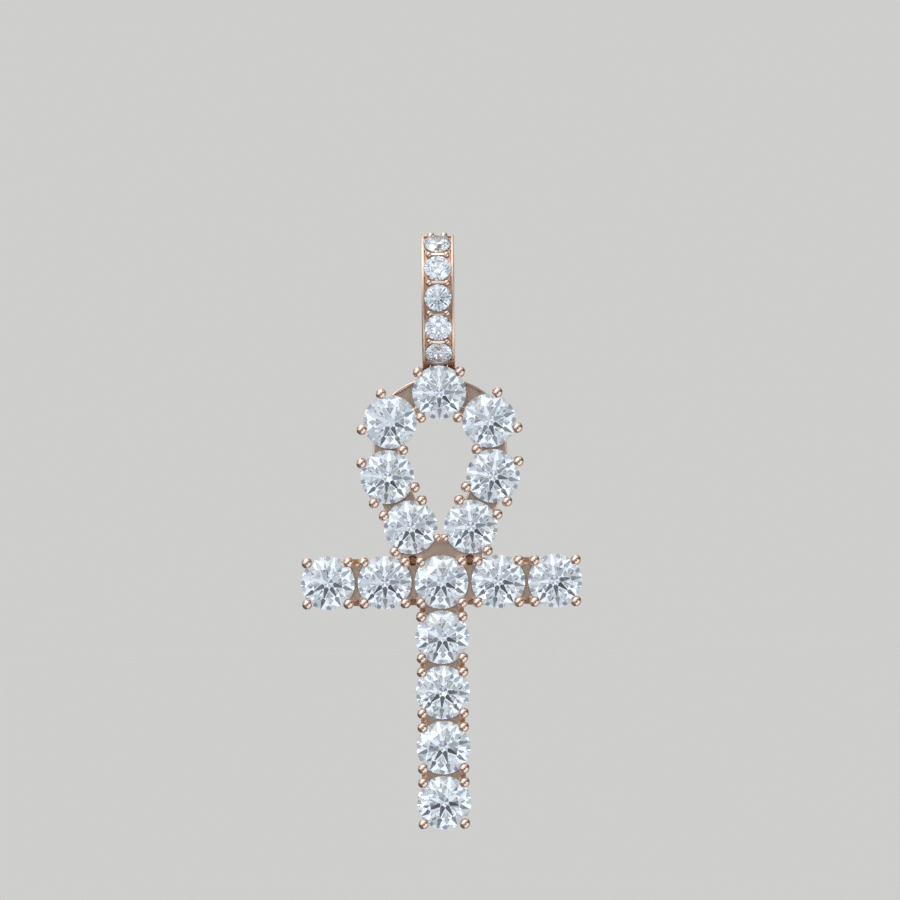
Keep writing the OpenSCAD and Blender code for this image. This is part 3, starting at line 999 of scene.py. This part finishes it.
def by_angle(target, start, end, low, high):
    """Goes softly from low to high between two angles off a target, in degrees."""
    settings = {"operation": "DOT_PRODUCT"}
    nearness = shader.node("ShaderNodeVectorMath", settings, direction, target.normalized(), output=1)
    cosines = [math.cos(math.radians(angle)) for angle in (start, end)]
    return shader.smooth_step(nearness, *cosines, low, high)


# %% Brightness of the tent
seen_directly = shader.node("ShaderNodeLightPath", {}, output=0)
glossy = shader.node("ShaderNodeLightPath", {}, output=3)
reflected = shader.node("ShaderNodeLightPath", {}, output=5)
mirrored = glossy * reflected
past_lens = by_angle(PHOTOGRAPHER, 5, 13, 0.1, 1.0)
past_clothes = by_angle(PHOTOGRAPHER, 12, 24, 0.06, 0.8) + by_angle(PHOTOGRAPHER, 26, 36, 0.0, 0.25)
outside_patch = past_lens * (1 - mirrored) + past_clothes * mirrored
panels = shader.smooth_step(abs(right * up) / (1 - back * back), 0.28, 0.46, 1.0, 0.5)
corners = shader.smooth_step(right * up, 0.0, 0.2, 1.0, 0.2)
gaps = panels * (1 - mirrored) + corners * mirrored
seam = by_angle(FRONT, 26, 31, 1.0, 0.6) + by_angle(FRONT, 35, 40, 0.0, 0.4)
sides = by_angle(FRONT, 62, 95, 1.0, 0.35) + by_angle(FRONT, 115, 150, 0.0, 0.25)
overhead = shader.smooth_step(up, 0.55, 0.9, 0.0, 0.7)
brightness = outside_patch * gaps * seam * sides + overhead
print("tent of", len(world.node_tree.nodes), "nodes so far")

# %% Colours of the tent
CLOTH_POWER = 1.12
CLOTH_GLOW = 0.03
CLOTH = (0.95, 1.0, 1.05)
CLOTH_MIRRORED = (0.98, 0.99, 1.0)
PATCH = (0.75, 0.88, 1.1)
BACKDROP = (0.62, 0.62, 0.61)
COLOURED_SPOTS = (
    ((0.76, 0.64, 1.0), Vector((-0.55, -1, -0.5))),
    ((0.68, 0.84, 1.0), Vector((0.5, -1, -0.75))),
    ((1.0, 0.94, 0.86), Vector((0.8, -1, 0.35))),
)
tint = shader.mixed_colour(outside_patch, PATCH, CLOTH)
tint = shader.mixed_colour(mirrored, tint, CLOTH_MIRRORED)
for colour, target in COLOURED_SPOTS:
    tint = shader.mixed_colour(by_angle(target, 15, 9, 0.0, 1.0), tint, colour)
strength = brightness * CLOTH_POWER + CLOTH_GLOW
tent = shader.node("ShaderNodeBackground", {}, Color=tint, Strength=strength)
backdrop = shader.node("ShaderNodeBackground", {}, Color=BACKDROP, Strength=1.0)
seen = shader.node("ShaderNodeMixShader", {}, seen_directly, tent, backdrop)
shader.node("ShaderNodeOutputWorld", {}, seen)
print("tent of", len(world.node_tree.nodes), "nodes")

# %% [markdown]
# Soft light alone leaves polished metal a little dead. One small lamp, in front and high on the left, adds
# pinpoint glints. A large one would give broad patches, and the tent does that already. Light passes to and
# fro many times inside a stone, so the renderer may follow it further than it usually does.

# %% A small lamp for the glints, and the paths of light
LAMP_SPOT = Vector((-0.30, -0.45, 0.30))
LAMP_SIZE = 0.10
LAMP_POWER = 0.12
PATHS_IN_STONE = 24
PATHS_IN_METAL = 16
aim = (cad_bounds[0] + cad_bounds[1]) / 2
light = bpy.data.lights.new("glint lamp", "AREA")
light.shape = "DISK"
light.size = LAMP_SIZE
light.energy = LAMP_POWER
lamp = bpy.data.objects.new("glint lamp", light)
bpy.context.collection.objects.link(lamp)
lamp.location = LAMP_SPOT
lamp.rotation_euler = (aim - LAMP_SPOT).to_track_quat("-Z", "Y").to_euler()
lamp.visible_camera = False
bpy.context.scene.view_settings.view_transform = "Standard"
bpy.context.scene.cycles.max_bounces = PATHS_IN_STONE
bpy.context.scene.cycles.glossy_bounces = PATHS_IN_METAL
bpy.context.scene.cycles.transmission_bounces = PATHS_IN_STONE
print("lamp %.2f m away" % (aim - LAMP_SPOT).length)

# %% [markdown]
# The photo was taken from straight ahead, from far enough that nothing is distorted, so the lens is long.
# The photo's scale gives the width of the picture, and the pendant's place in it gives the aim. The pendant
# hangs a little askew there, so the camera is rolled by as much, because the frame's solids aren't moved.

# %% Camera
PICTURE = 900
PIXELS_PER_MM = 13.43
CROSSING_PIXEL = (441.5, 582)
ROLL = 0.7
LENS = 180
camera_data = bpy.data.cameras.new("camera")
camera_data.lens = LENS
camera = bpy.data.objects.new("camera", camera_data)
bpy.context.collection.objects.link(camera)
picture_mm = PICTURE / PIXELS_PER_MM
distance = picture_mm / camera_data.sensor_width * LENS
roll = math.radians(ROLL)
off_x = (PICTURE / 2 - CROSSING_PIXEL[0]) / PIXELS_PER_MM
off_z = (CROSSING_PIXEL[1] - PICTURE / 2) / PIXELS_PER_MM
across = off_x * math.cos(roll) + off_z * math.sin(roll)
upwards = off_z * math.cos(roll) - off_x * math.sin(roll)
spot = crossing + Vector((across, -distance, upwards))
looking_ahead = Matrix.Rotation(math.radians(90), 4, "X")
camera.matrix_world = Matrix.Translation(spot * MM) @ looking_ahead @ turn_z(-ROLL)
bpy.context.scene.camera = camera
print("camera %.0f mm in front" % distance)
